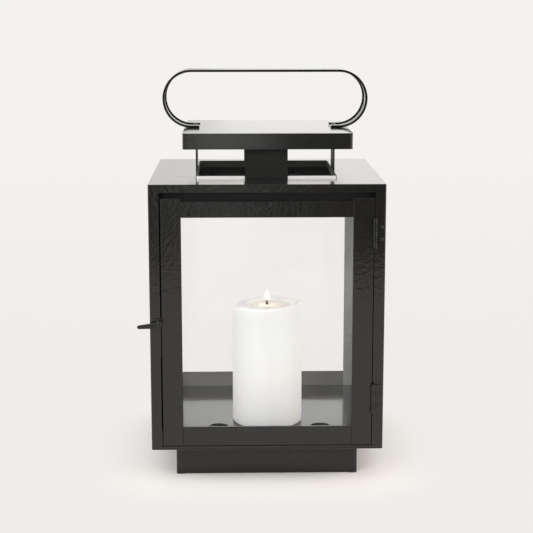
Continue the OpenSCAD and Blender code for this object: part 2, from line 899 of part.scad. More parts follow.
module candle_wax() {
    bore_r = wick_d / 2 + wick_clear;
    color(white_wax)
        translate([candle_x, -candle_y, 0])
            rotate_extrude($fn = 96)
                difference() {
                    candle_outline();
                    translate([-cut, floor_z - cut]) square([bore_r + cut, candle_h + 2 * cut]);
                    polygon([[0, pool_z],
                             [pool_d / 2 - pool_depth, pool_z],
                             [pool_d / 2, candle_top],
                             [pool_d / 2, candle_top + cut],
                             [0, candle_top + cut]]);
                }
}

module candle_wick() {
    color([0.1, 0.08, 0.07])
        translate([candle_x, -candle_y, floor_z])
            cylinder(d = wick_d, h = pool_z + wick_out - floor_z, $fn = small_fn);
}

base_skirt();
foot_pads();
base_plate();
front_left_post();
front_right_post();
rear_left_post();
rear_right_post();
front_bottom_rail();
rear_bottom_rail();
left_bottom_rail();
right_bottom_rail();
front_top_rail();
rear_top_rail();
left_top_rail();
right_top_rail();
rear_glass();
left_glass();
right_glass();
glass_clips();
roof_plate();
vent_collar();
front_cap_support();
rear_cap_support();
left_cap_support();
right_cap_support();
cap();
handle_strap();
handle_rivets();
upper_frame_leaf();
lower_frame_leaf();
upper_hinge_pin();
lower_hinge_pin();
hinge_rivets();
latch_stud();
left_door_stile();
right_door_stile();
top_door_rail();
bottom_door_rail();
door_glass();
door_clips();
upper_door_leaf();
lower_door_leaf();
latch_bracket();
latch_rivet();
latch_lever();
candle_wax();
candle_wick();
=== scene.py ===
"""Square candle lantern: finish pieces, materials, stage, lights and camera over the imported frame."""
import json
import math

import bmesh
import bpy
from mathutils import Matrix, Vector, noise


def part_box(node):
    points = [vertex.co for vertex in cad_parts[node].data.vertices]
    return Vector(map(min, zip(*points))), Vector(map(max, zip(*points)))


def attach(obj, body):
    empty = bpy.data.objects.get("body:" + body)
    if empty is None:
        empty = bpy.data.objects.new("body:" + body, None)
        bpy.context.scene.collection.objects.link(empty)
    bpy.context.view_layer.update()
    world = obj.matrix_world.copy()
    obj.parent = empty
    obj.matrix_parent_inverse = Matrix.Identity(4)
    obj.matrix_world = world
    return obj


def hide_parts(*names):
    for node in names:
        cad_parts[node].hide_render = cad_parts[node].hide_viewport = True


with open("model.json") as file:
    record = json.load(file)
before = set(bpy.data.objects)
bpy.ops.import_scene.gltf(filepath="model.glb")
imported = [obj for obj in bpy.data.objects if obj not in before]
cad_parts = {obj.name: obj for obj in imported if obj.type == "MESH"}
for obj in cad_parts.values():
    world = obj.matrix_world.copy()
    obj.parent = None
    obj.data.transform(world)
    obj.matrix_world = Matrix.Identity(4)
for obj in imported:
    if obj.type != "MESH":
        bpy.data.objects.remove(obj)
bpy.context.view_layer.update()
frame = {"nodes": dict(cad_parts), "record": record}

MM = 0.001
BODY_OF = {node: body for body, nodes in frame["record"]["behaviour"]["bodies"].items() for node in nodes}
SLOT_OF = {row["node"]: row["material_slot"] for row in frame["record"]["subparts"]}

# Camera, fitted to the photograph
CAM_AT = (-29.07, -1420.80, 468.25)
CAM_YAW = 1.241
CAM_PITCH = 10.717
CAM_ROLL = -0.028
SENSOR = 36.0
LENS = 91.18

# Colours of the room, as light
WHITE_HIGH = (0.905, 0.888, 0.863)
WHITE_LOW = (0.871, 0.838, 0.814)

# Edge rounding of the finish pieces
SHEET_BEVEL = 0.28
FINE_BEVEL = 0.12
WIDE_BEVEL = 0.5
BEVEL_STEPS = 2
BEVEL_ANGLE = 32.0
LATHE_ANGLE = 50.0

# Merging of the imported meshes: distance in millimetres, and angle of faces that count as flat
MERGE_DISTANCE = 0.004
FLAT_ANGLE = 0.5

# Refractive index of the panes, low since the photograph's show next to no reflection face on
GLASS_IOR = 1.22

# Recess round the door, where the paint takes its painted inner colour: its front and back in Y and half
# its width, each over a soft edge. Then how much lighter that painted colour gets in places, and how much
# rougher it is
RECESS_FRONT = (-0.1140, -0.1125)
RECESS_BACK = (-0.098, -0.100)
RECESS_HALF = (0.1135, 0.1115)
PAINTED_TONE_CLOUD = 1.5
PAINTED_TONE_ROUGH = 0.35
# How far a face has to look towards the axis to count as inward, and how upright it has to be
INWARD = (-0.012, -0.030)
UPRIGHT = (0.6, 0.4)

# Brightness of the flame's own light on the wax, and its heights over the candle's top in millimetres
FLAME_GLOW = 11.0
FLAME_SPAN = (4.5, 14.0)

# Candle, in millimetres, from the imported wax
wax_low, wax_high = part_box("candle_wax")
CANDLE_X = (wax_low[0] + wax_high[0]) / 2 / MM
CANDLE_Y = (wax_low[1] + wax_high[1]) / 2 / MM
CANDLE_R = (wax_high[0] - wax_low[0]) / 2 / MM
CANDLE_FOOT = wax_low[2] / MM
CANDLE_TOP = wax_high[2] / MM
POOL_TOP = CANDLE_TOP - 2.1
POOL_SHIFT = 3.0
FOOT_R = 3.0
# Length at the foot and the top in which the wax keeps one tone; between them painted shade greys it
# towards the top
TONE_ENDS = 15.0
# Height of the rim over the candle's top and radius of its edge, at every eighth of a turn from +X
RIM_LIFT = (3.4, 0.0, 0.3, -1.0, -1.4, 0.4, 0.6, 2.2)
RIM_ROUND = (1.2, 2.5, 3.5, 7.0, 9.0, 6.0, 3.0, 1.6)


# Node helpers
class Tree:
    """Short calls that add and join the nodes of one material or world. In add, p_ before a name
    sets a property, i before a number an input by its place, and any other name an input."""

    def __init__(self, owner):
        owner.use_nodes = True
        self.tree = owner.node_tree
        self.tree.nodes.clear()

    def add(self, kind, **values):
        made = self.tree.nodes.new(kind)
        for key, value in values.items():
            if key.startswith("p_"):
                setattr(made, key[2:], value)
                continue
            numbered = key[0] == "i" and key[1:].isdigit()
            socket = made.inputs[int(key[1:]) if numbered else key.replace("_", " ")]
            if isinstance(value, bpy.types.NodeSocket):
                self.tree.links.new(value, socket)
            else:
                socket.default_value = value
        return made

    def math(self, how, a, b=0.0, c=0.0, clamp=False):
        return self.add("ShaderNodeMath", p_operation=how, p_use_clamp=clamp, i0=a, i1=b, i2=c).outputs[0]

    def ramp(self, value, low, high, to_low=0.0, to_high=1.0, smooth=False):
        how = "SMOOTHSTEP" if smooth else "LINEAR"
        made = self.add("ShaderNodeMapRange", p_interpolation_type=how, Value=value)
        limits = (("From Min", low), ("From Max", high), ("To Min", to_low), ("To Max", to_high))
        for name, number in limits:
            made.inputs[name].default_value = number
        return made.outputs[0]

    def mix(self, factor, a, b):
        made = self.add("ShaderNodeMix", p_data_type="RGBA", p_clamp_factor=False)
        for socket, value in ((made.inputs[0], factor), (made.inputs[6], a), (made.inputs[7], b)):
            if isinstance(value, bpy.types.NodeSocket):
                self.tree.links.new(value, socket)
            else:
                socket.default_value = value if socket is made.inputs[0] else (*value[:3], 1.0)
        return made.outputs[2]

    def noise(self, place, scale, detail=2.0, rough=0.5, stretch=None):
        if stretch:
            place = self.add("ShaderNodeMapping", Vector=place, Scale=stretch).outputs[0]
        made = self.add("ShaderNodeTexNoise", Vector=place, Scale=scale, Detail=detail, Roughness=rough)
        return made.outputs[0]

    def bump(self, height, strength, distance, normal=None):
        made = self.add("ShaderNodeBump", Strength=strength, Distance=distance, Height=height)
        if normal:
            self.tree.links.new(normal, made.inputs["Normal"])
        return made.outputs[0]

    def out(self, shader, kind="ShaderNodeOutputMaterial"):
        self.add(kind, Surface=shader)


def material(name):
    """A new material and its emptied node tree."""
    made = bpy.data.materials.new(name)
    return made, Tree(made)


def black_paint(name, ior, coat, peel_depth, painted_inner_colour):
    """Semi-gloss paint. Upright faces that look into the lantern or lie in the recess round the door
    are painted in the inner colour, matte and without clear coat: painted shade where it is black, painted
    light where it is grey or pale."""
    mat, t = material(name)
    coords = t.add("ShaderNodeTexCoord").outputs
    place = coords["Object"]
    flat = t.add("ShaderNodeVectorMath", p_operation="MULTIPLY", i0=place, i1=(1.0, 1.0, 0.0)).outputs[0]
    outward = t.add("ShaderNodeVectorMath", p_operation="DOT_PRODUCT", i0=flat, i1=coords["Normal"])
    inward = t.ramp(outward.outputs["Value"], *INWARD)
    at = t.add("ShaderNodeSeparateXYZ", Vector=place).outputs
    tilt = t.math("ABSOLUTE", t.add("ShaderNodeSeparateXYZ", Vector=coords["Normal"]).outputs[2])
    recess = t.math("MULTIPLY", t.ramp(at[1], *RECESS_FRONT), t.ramp(at[1], *RECESS_BACK))
    recess = t.math("MULTIPLY", recess, t.ramp(t.math("ABSOLUTE", at[0]), *RECESS_HALF))
    upright = t.ramp(tilt, *UPRIGHT)
    # painted light and shade: inward-looking and recessed upright faces take the inner colour
    painted_light_and_shade = t.math("MULTIPLY", t.math("MAXIMUM", inward, recess), upright)
    peel = t.noise(place, 270.0, 2.0, 0.5)
    wave = t.noise(place, 22.0, 1.0)
    cloud = t.noise(place, 55.0, 5.0, 0.6)
    speck = t.ramp(t.noise(place, 1500.0, 0.0), 0.80, 0.84)
    colour = t.mix(cloud, (0.0046, 0.0044, 0.0041), (0.0088, 0.0084, 0.0078))
    colour = t.mix(speck, colour, (0.060, 0.058, 0.055))
    colour = t.mix(painted_light_and_shade, colour, t.mix(cloud, painted_inner_colour, [PAINTED_TONE_CLOUD * c for c in painted_inner_colour]))
    rough = t.math("MULTIPLY_ADD", painted_light_and_shade, PAINTED_TONE_ROUGH, t.ramp(cloud, 0.25, 0.75, 0.14, 0.22))
    normal = t.bump(wave, 0.08, 0.0010)
    normal = t.bump(peel, peel_depth, 0.00012, normal)
    shader = t.add("ShaderNodeBsdfPrincipled", Base_Color=colour, Roughness=rough, Normal=normal,
                   IOR=ior, Coat_Weight=t.math("SUBTRACT", 1.0, painted_light_and_shade), Coat_Roughness=coat, Coat_IOR=ior)
    t.tree.links.new(normal, shader.inputs["Coat Normal"])
    t.out(shader.outputs[0])
    return mat


def handle_paint():
    """The same paint, smooth and deep black, glossy all round the strap, the latch and the hinges."""
    mat, t = material("handle_paint")
    place = t.add("ShaderNodeTexCoord").outputs["Object"]
    cloud = t.noise(place, 55.0, 5.0, 0.6)
    colour = t.mix(cloud, (0.0030, 0.0029, 0.0027), (0.0062, 0.0060, 0.0056))
    rough = t.ramp(cloud, 0.25, 0.75, 0.12, 0.22)
    normal = t.bump(t.noise(place, 60.0, 2.0, 0.45), 0.05, 0.00010)
    shader = t.add("ShaderNodeBsdfPrincipled", Base_Color=colour, Roughness=rough, Normal=normal,
                   IOR=1.40, Coat_Weight=0.6, Coat_Roughness=0.10, Coat_IOR=1.36)
    t.out(shader.outputs[0])
    return mat


def inner_paint():
    """The same paint where the spray landed dry, under the cap."""
    mat, t = material("inner_paint")
    place = t.add("ShaderNodeTexCoord").outputs["Object"]
    grain = t.noise(place, 900.0, 3.0, 0.6)
    cloud = t.noise(place, 55.0, 5.0, 0.6)
    colour = t.mix(cloud, (0.0060, 0.0058, 0.0054), (0.0110, 0.0106, 0.0100))
    rough = t.ramp(cloud, 0.25, 0.75, 0.45, 0.60)
    normal = t.bump(grain, 0.30, 0.00008)
    shader = t.add("ShaderNodeBsdfPrincipled", Base_Color=colour, Roughness=rough, Normal=normal, IOR=1.36)
    t.out(shader.outputs[0])
    return mat


def zinc_steel():
    """Pale satin zinc on the collar's front face, partly a painted highlight on the face that looks
    forward; black on the rest.
    """
    mat, t = material("zinc_steel")
    place = t.add("ShaderNodeTexCoord").outputs["Object"]
    facing = t.add("ShaderNodeNewGeometry").outputs["Normal"]
    forward = t.ramp(t.add("ShaderNodeSeparateXYZ", Vector=facing).outputs[1], -0.6, -0.9)
    front = t.ramp(t.add("ShaderNodeSeparateXYZ", Vector=place).outputs[1], -0.060, -0.065)
    # partly painted highlight: only the forward-looking front face is pale metal
    front_highlight = t.math("MULTIPLY", forward, front)
    spangle = t.noise(place, 260.0, 3.0, 0.6)
    zinc = t.mix(spangle, (0.80, 0.80, 0.79), (0.90, 0.90, 0.89))
    colour = t.mix(front_highlight, (0.012, 0.012, 0.011), zinc)
    rough = t.ramp(spangle, 0.2, 0.8, 0.38, 0.50)
    normal = t.bump(spangle, 0.10, 0.00005)
    shader = t.add("ShaderNodeBsdfPrincipled", Base_Color=colour, Roughness=rough, Normal=normal,
                   Metallic=t.math("MULTIPLY", front_highlight, 0.25))
    t.out(shader.outputs[0])
    return mat


def dark_steel():
    """Blackened spring steel of the clips."""
    mat, t = material("dark_steel")
    place = t.add("ShaderNodeTexCoord").outputs["Object"]
    streak = t.noise(place, 900.0, 3.0, 0.6, (1.0, 1.0, 0.12))
    cloud = t.noise(place, 180.0, 4.0, 0.6)
    colour = t.mix(cloud, (0.022, 0.021, 0.020), (0.048, 0.046, 0.043))
    rough = t.ramp(streak, 0.2, 0.8, 0.30, 0.48)
    normal = t.bump(streak, 0.20, 0.00005)
    shader = t.add("ShaderNodeBsdfPrincipled", Base_Color=colour, Roughness=rough, Normal=normal,
                   Metallic=1.0)
    t.out(shader.outputs[0])
    return mat


def black_rubber():
    """Dull rubber of the foot pads."""
    mat, t = material("black_rubber")
    place = t.add("ShaderNodeTexCoord").outputs["Object"]
    grain = t.noise(place, 1400.0, 4.0, 0.6)
    colour = t.mix(grain, (0.016, 0.016, 0.015), (0.034, 0.033, 0.032))
    rough = t.ramp(grain, 0.2, 0.8, 0.72, 0.90)
    normal = t.bump(grain, 0.35, 0.00010)
    shader = t.add("ShaderNodeBsdfPrincipled", Base_Color=colour, Roughness=rough, Normal=normal)
    t.out(shader.outputs[0])
    return mat


def clear_glass():
    """A pane seen straight through, with a thin film of dust, a weak reflection, and a diffuse film that
    grows strongly towards grazing angles as a painted reflection.
    """
    mat, t = material("clear_glass")
    place = t.add("ShaderNodeTexCoord").outputs["Object"]
    inside = t.add("ShaderNodeNewGeometry").outputs["Backfacing"]
    ior = t.math("MULTIPLY_ADD", inside, 1 / GLASS_IOR - GLASS_IOR, GLASS_IOR)
    wave = t.noise(place, 9.0, 1.0)
    normal = t.bump(wave, 0.05, 0.0008)
    gloss = t.add("ShaderNodeFresnel", IOR=ior, Normal=normal).outputs[0]
    dust = t.ramp(t.noise(place, 30.0, 5.0, 0.65), 0.35, 0.80, 0.007, 0.018)
    # partly dust, partly painted reflection: the diffuse film brightens towards grazing angles
    dust_and_reflection = t.math("MULTIPLY", dust, t.math("MULTIPLY_ADD", gloss, 34.0, 1.0), clamp=True)
    see = t.add("ShaderNodeBsdfTransparent", Color=(0.997, 0.999, 0.998, 1.0)).outputs[0]
    film = t.add("ShaderNodeBsdfDiffuse", Color=(0.80, 0.80, 0.79, 1.0)).outputs[0]
    mirror = t.add("ShaderNodeBsdfGlossy", Color=(1.0, 1.0, 1.0, 1.0), Roughness=0.01,
                   Normal=normal).outputs[0]
    clear = t.add("ShaderNodeMixShader", Fac=dust_and_reflection, i1=see, i2=film).outputs[0]
    t.out(t.add("ShaderNodeMixShader", Fac=gloss, i1=clear, i2=mirror).outputs[0])
    return mat


def wax_shader(t, colour, rough, normal, reach, lit):
    """Soft wax; lit is the strength of a painted glow that stands for the flame's light coming back out of
    it.
    """
    shader = t.add("ShaderNodeBsdfPrincipled", Base_Color=colour, Roughness=rough, Normal=normal,
                   IOR=1.44, Subsurface_Weight=0.6, Subsurface_Scale=reach,
                   Subsurface_Radius=(1.0, 0.75, 0.55), Emission_Color=(1.0, 0.94, 0.86, 1.0),
                   Emission_Strength=lit)
    t.out(shader.outputs[0])


def white_wax():
    """Wax with painted shade that greys its outside towards the top; its burnt top and the inside of its
    rim are painted white and glow, as painted light from the flame.
    """
    mat, t = material("white_wax")
    coords = t.add("ShaderNodeTexCoord").outputs
    place = coords["Object"]
    mottle = t.noise(place, 45.0, 5.0, 0.6)
    fine = t.noise(place, 520.0, 3.0, 0.55)
    height = t.add("ShaderNodeSeparateXYZ", Vector=place).outputs[2]
    # painted shade: the outside greys towards the top
    up = t.ramp(height, (CANDLE_FOOT + TONE_ENDS) * MM, (CANDLE_TOP - TONE_ENDS) * MM)
    colour = t.mix(up, t.mix(mottle, (0.930, 0.925, 0.914), (0.950, 0.946, 0.939)),
                   t.mix(mottle, (0.765, 0.782, 0.780), (0.795, 0.812, 0.816)))
    facing = t.add("ShaderNodeSeparateXYZ", Vector=coords["Normal"]).outputs[2]
    flat = t.add("ShaderNodeVectorMath", p_operation="MULTIPLY", i0=place, i1=(1.0, 1.0, 0.0)).outputs[0]
    radius = t.add("ShaderNodeVectorMath", p_operation="DISTANCE", i0=flat,
                   i1=(CANDLE_X * MM, CANDLE_Y * MM, 0.0)).outputs["Value"]
    # painted light: the top faces and the inside of the rim, whiter and glowing
    flame_lit_top = t.math("MAXIMUM", t.ramp(facing, 0.25, 0.80, smooth=True),
                   t.ramp(radius, (CANDLE_R - 1.0) * MM, (CANDLE_R - 3.0) * MM))
    colour = t.mix(flame_lit_top, colour, (0.985, 0.970, 0.950))
    rough = t.ramp(fine, 0.2, 0.8, 0.42, 0.60)
    normal = t.bump(mottle, 0.12, 0.0005)
    normal = t.bump(fine, 0.14, 0.00007, normal)
    wax_shader(t, colour, rough, normal, 0.006, t.math("MULTIPLY", flame_lit_top, 0.10))
    return mat


def melted_wax():
    """Warm, wet wax round the wick, with a faint painted glow of the flame's light."""
    mat, t = material("melted_wax")
    place = t.add("ShaderNodeTexCoord").outputs["Object"]
    mottle = t.noise(place, 80.0, 3.0, 0.5)
    colour = t.mix(mottle, (0.960, 0.740, 0.570), (0.975, 0.810, 0.680))
    rough = t.ramp(mottle, 0.2, 0.8, 0.12, 0.22)
    normal = t.bump(mottle, 0.10, 0.0004)
    wax_shader(t, colour, rough, normal, 0.004, t.ramp(mottle, 0.2, 0.8, 0.05, 0.09))
    return mat


def charred_wick():
    """Twisted cotton, charred dark."""
    mat, t = material("wick_cotton")
    place = t.add("ShaderNodeTexCoord").outputs["Object"]
    twist = t.add("ShaderNodeTexWave", p_bands_direction="DIAGONAL", Vector=place, Scale=420.0,
                  Distortion=1.5, Detail=2.0).outputs["Fac"]
    colour = t.mix(twist, (0.020, 0.013, 0.010), (0.130, 0.085, 0.060))
    rough = t.ramp(twist, 0.0, 1.0, 0.75, 0.95)
    normal = t.bump(twist, 0.6, 0.0002)
    shader = t.add("ShaderNodeBsdfPrincipled", Base_Color=colour, Roughness=rough, Normal=normal)
    t.out(shader.outputs[0])
    return mat


def flame_light():
    """Near white where it is seen or mirrored, and brighter for the wax it lights."""
    mat, t = material("flame")
    place = t.add("ShaderNodeTexCoord").outputs["Object"]
    height = t.add("ShaderNodeSeparateXYZ", Vector=place).outputs[2]
    up = t.ramp(height, *((CANDLE_TOP + end) * MM for end in FLAME_SPAN))
    flicker = t.noise(place, 160.0, 2.0)
    colour = t.mix(up, (1.0, 0.92, 0.80), (1.0, 0.985, 0.95))
    ray = t.add("ShaderNodeLightPath").outputs
    shown = t.math("MAXIMUM", ray["Is Camera Ray"], ray["Is Glossy Ray"])
    less = t.ramp(flicker, 0.2, 0.8, 1.0 - FLAME_GLOW, 1.25 - FLAME_GLOW)
    strength = t.math("MULTIPLY_ADD", shown, less, FLAME_GLOW)
    t.out(t.add("ShaderNodeEmission", Color=colour, Strength=strength).outputs[0])
    return mat


# Inner colours of the paint: painted shade, as the rest of the black, and painted light on the rear and
# side rails and on the rear posts
PAINTED_SHADE_BLACK = (0.0040, 0.0039, 0.0037)
PAINTED_LIGHT_GREY = (0.115, 0.114, 0.112)
PAINTED_LIGHT_PALE = (0.250, 0.252, 0.250)
# Refractive index of the paint and roughness of its clear coat
PAINT_IOR = 1.36
PAINT_COAT = 0.09

MATERIALS = {
    "black_paint": black_paint("black_paint", PAINT_IOR, PAINT_COAT, 0.22, PAINTED_SHADE_BLACK),
    "dark_steel": dark_steel(),
    "zinc_steel": zinc_steel(),
    "black_rubber": black_rubber(),
    "clear_glass": clear_glass(),
    "white_wax": white_wax(),
    "wick_cotton": charred_wick(),
}
MELTED = melted_wax()
INNER = inner_paint()
SKIRT = black_paint("skirt_paint", 1.32, 0.16, 0.25, PAINTED_SHADE_BLACK)
# painted light: grey inner faces on the rails, pale ones on the rear posts and the clips
WALL = black_paint("wall_paint", PAINT_IOR, PAINT_COAT, 0.40, PAINTED_LIGHT_GREY)
POST = black_paint("post_paint", PAINT_IOR, PAINT_COAT, 0.40, PAINTED_LIGHT_PALE)
HANDLE = handle_paint()
PEELED = black_paint("peeled_paint", PAINT_IOR, 0.07, 1.20, PAINTED_SHADE_BLACK)
PAINTED = (
    (INNER, ("front_cap_support", "rear_cap_support", "left_cap_support", "right_cap_support")),
    (SKIRT, ("base_skirt",)),
    (HANDLE, ("handle_strap", "latch_lever", "latch_bracket", "latch_rivet", "upper_hinge_pin",
              "lower_hinge_pin", "hinge_rivets", "upper_door_leaf", "lower_door_leaf")),
    (POST, ("rear_left_post", "rear_right_post", "glass_clips")),
    (WALL, ("rear_bottom_rail", "left_bottom_rail", "right_bottom_rail")),
    (PEELED, ("top_door_rail", "bottom_door_rail", "left_door_stile", "right_door_stile", "front_top_rail",
              "front_left_post", "front_right_post")),
)
OWN_PAINT = {node: paint for paint, nodes in PAINTED for node in nodes}
FLAME = flame_light()


# Mesh helpers
def piece(name, mesh, mat, body, nodes=()):
    """A visible piece that rides on a body and stands in for the given nodes."""
    made = bpy.data.objects.new(name, mesh)
    bpy.context.scene.collection.objects.link(made)
    mesh.materials.clear()
    mesh.materials.append(mat)
    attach(made, body)
    if nodes:
        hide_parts(*nodes)
    return made


def smooth(mesh, angle=BEVEL_ANGLE):
    """Smooth shading with sharp edges over the angle."""
    mesh.shade_smooth()
    mesh.set_sharp_from_angle(angle=math.radians(angle))


def finish_piece(node, bevel):
    """The node's own shape with merged faces and rounded edges, in the node's place."""
    form = bmesh.new()
    form.from_mesh(frame["nodes"][node].data)
    bmesh.ops.remove_doubles(form, verts=form.verts, dist=MERGE_DISTANCE * MM)
    bmesh.ops.dissolve_limit(form, angle_limit=math.radians(FLAT_ANGLE), verts=form.verts,
                             edges=form.edges)
    mesh = bpy.data.meshes.new(node + "_finish")
    form.to_mesh(mesh)
    form.free()
    smooth(mesh)
    paint = OWN_PAINT.get(node, MATERIALS[SLOT_OF[node]])
    made = piece(node + "_finish", mesh, paint, BODY_OF[node], [node])
    edge = made.modifiers.new("edges", "BEVEL")
    edge.width = bevel * MM
    edge.segments = BEVEL_STEPS
    edge.limit_method = "ANGLE"
    edge.angle_limit = math.radians(BEVEL_ANGLE)
    edge.harden_normals = True
    edge.use_clamp_overlap = True
    flat = made.modifiers.new("flat", "WEIGHTED_NORMAL")
    flat.mode = "FACE_AREA"
    flat.weight = 100
    flat.keep_sharp = True


def lathe(name, profile, turns):
    """A closed mesh turned round the candle's axis; profile(angle) gives its (radius, height) points,
    the first and the last of them on the axis."""
    form = bmesh.new()
    columns = []
    for k in range(turns):
        a = 2 * math.pi * k / turns
        points = profile(a)
        if not columns:
            ends = [form.verts.new((CANDLE_X * MM, CANDLE_Y * MM, points[e][1] * MM)) for e in (0, -1)]
        columns.append([form.verts.new(((CANDLE_X + r * math.cos(a)) * MM,
                                        (CANDLE_Y + r * math.sin(a)) * MM, z * MM))
                        for r, z in points[1:-1]])
    for here, after in zip(columns, columns[1:] + columns[:1]):
        form.faces.new((ends[0], after[0], here[0]))
        form.faces.new((ends[1], here[-1], after[-1]))
        for j in range(len(here) - 1):
            form.faces.new((here[j], after[j], after[j + 1], here[j + 1]))
    bmesh.ops.recalc_face_normals(form, faces=form.faces)
    mesh = bpy.data.meshes.new(name)
    form.to_mesh(mesh)
    form.free()
    smooth(mesh, LATHE_ANGLE)
    return mesh


def arc(cx, cz, r, start, end, steps):
    """Points of a circle arc, angles in degrees, from start to end."""
    return [(cx + r * math.cos(math.radians(start + (end - start) * k / steps)),
             cz + r * math.sin(math.radians(start + (end - start) * k / steps))) for k in range(steps + 1)]


# Sheet metal, hinges, latch and glass
FINE_NODES = {"glass_clips", "handle_rivets", "hinge_rivets", "latch_stud", "latch_rivet", "latch_bracket",
              "upper_frame_leaf", "lower_frame_leaf", "upper_hinge_pin", "lower_hinge_pin",
              "upper_door_leaf", "lower_door_leaf", "door_clips"}
WIDE_NODES = {"handle_strap", "top_door_rail", "bottom_door_rail", "left_door_stile", "right_door_stile",
              "front_top_rail"}
BEVEL_OF = {**dict.fromkeys(FINE_NODES, FINE_BEVEL), **dict.fromkeys(WIDE_NODES, WIDE_BEVEL)}
CANDLE_NODES = {"candle_wax", "candle_wick"}

for node in SLOT_OF:
    if node in CANDLE_NODES:
        continue
    if SLOT_OF[node] == "clear_glass":
        obj = frame["nodes"][node]
        obj.data.materials.clear()
        obj.data.materials.append(MATERIALS["clear_glass"])
        continue
    finish_piece(node, BEVEL_OF.get(node, SHEET_BEVEL))


# Candle, in millimetres. Rings of the dish in its top, from the rim inwards: radius, depth, and share
# of the rim's lift
WAX_DISH = ((27.0, 0.2, 0.75), (25.0, 0.7, 0.4), (23.6, 1.5, 0.15), (21.5, 2.2, 0.0), (12.0, 2.5, 0.0))
DISH_R = 25.0
DISH_DEPTH = 2.5
SIDE_STEPS = 10
# Rings of the melted wax and of the flame: radius and height. The ends are heights on the axis
POOL_SHAPE = ((19.0, -0.9), (21.6, -0.5), (23.4, 0.10), (22.6, 0.03), (20.0, -0.05), (10.0, 0.0),
              (2.6, 0.02), (1.7, 0.35))
POOL_ENDS = (-0.9, 0.4)
FLAME_SHAPE = ((1.8, 4.9), (3.0, 5.7), (3.5, 6.9), (3.1, 8.3), (2.5, 9.8), (1.7, 11.4), (0.8, 13.0))
FLAME_ENDS = (4.6, 14.2)
WICK_R = 1.5
WICK_HIGH = 4.9
WICK_STEPS = 9


def round_turn(values, a):
    """A smooth value at angle a from values given at even steps round a full turn."""
    place = (a / (2 * math.pi)) % 1.0 * len(values)
    k = int(place) % len(values)
    part = (1 - math.cos(math.pi * (place - int(place)))) / 2
    return values[k] * (1 - part) + values[(k + 1) % len(values)] * part


def wax_profile(a):
    """The burnt top stands higher on the right and is worn round on the left."""
    wobble = noise.noise(Vector((math.cos(a) * 1.3, math.sin(a) * 1.3, 0.4)))
    lift = round_turn(RIM_LIFT, a) + 0.4 * wobble
    edge = round_turn(RIM_ROUND, a)
    r = CANDLE_R - 0.1 + 0.1 * wobble
    low, high = CANDLE_FOOT + FOOT_R, CANDLE_TOP + lift - edge
    points = [(0, CANDLE_FOOT)] + arc(r - FOOT_R, low, FOOT_R, -90, 0, 6)
    points += [(r, low + (high - low) * k / SIDE_STEPS) for k in range(1, SIDE_STEPS)]
    points += arc(r - edge, high, edge, 0, 90, 8)
    shift = POOL_SHIFT * math.cos(a) / DISH_R
    points += [(radius * (1 + shift), CANDLE_TOP - depth + share * lift)
               for radius, depth, share in WAX_DISH]
    return points + [(0, CANDLE_TOP - DISH_DEPTH)]


def pool_profile(a):
    """The melted wax, moved to the right like the dish it fills."""
    shift = POOL_SHIFT * math.cos(a) / DISH_R
    rings = [(r * (1 + shift), POOL_TOP + z) for r, z in POOL_SHAPE]
    return [(0, POOL_TOP + POOL_ENDS[0])] + rings + [(0, POOL_TOP + POOL_ENDS[1])]


def wick_profile(a):
    """A twisted, slightly bent wick."""
    low = POOL_TOP - 1.0
    points = [(0, low), (WICK_R, low)]
    for k in range(WICK_STEPS):
        twist = 0.10 * math.sin(3 * a + 0.8 * k)
        bend = 0.06 * k * math.cos(a)
        points.append((WICK_R - 0.03 * k + twist - bend, POOL_TOP - 0.2 + 0.6 * k))
    return points + [(0, POOL_TOP + WICK_HIGH)]


def flame_profile(a):
    """A small drop-shaped flame."""
    rings = [(r, CANDLE_TOP + z) for r, z in FLAME_SHAPE]
    return [(0, CANDLE_TOP + FLAME_ENDS[0])] + rings + [(0, CANDLE_TOP + FLAME_ENDS[1])]


for name, profile, turns, paint, slot, replaced in (
        ("candle_body", wax_profile, 96, MATERIALS["white_wax"], "white_wax", ["candle_wax"]),
        ("melt_pool", pool_profile, 64, MELTED, "white_wax", []),
        ("wick", wick_profile, 24, MATERIALS["wick_cotton"], "wick_cotton", ["candle_wick"]),
        ("flame", flame_profile, 32, FLAME, None, [])):
    piece(name, lathe(name, profile, turns), paint, "candle", replaced)


# Room
FLOOR_HALF = 6.0
FLOOR_NEAR, FLOOR_FAR = -1.25, 9.0
# Distance from the lantern's axis where the ground comes out from under the skirt, and where its
# shading fades into the even tone of the backdrop
SKIRT_EDGE = (0.0880, 0.0915)
SHADE_FADE = (0.092, 0.195)
# Depth at which the floor's near tone turns to the far one
TONE_FADE = (0.2, 3.0)
# Painted shade of the ground under the skirt
SHADE_UNDER_SKIRT = (0.020, 0.019, 0.018)


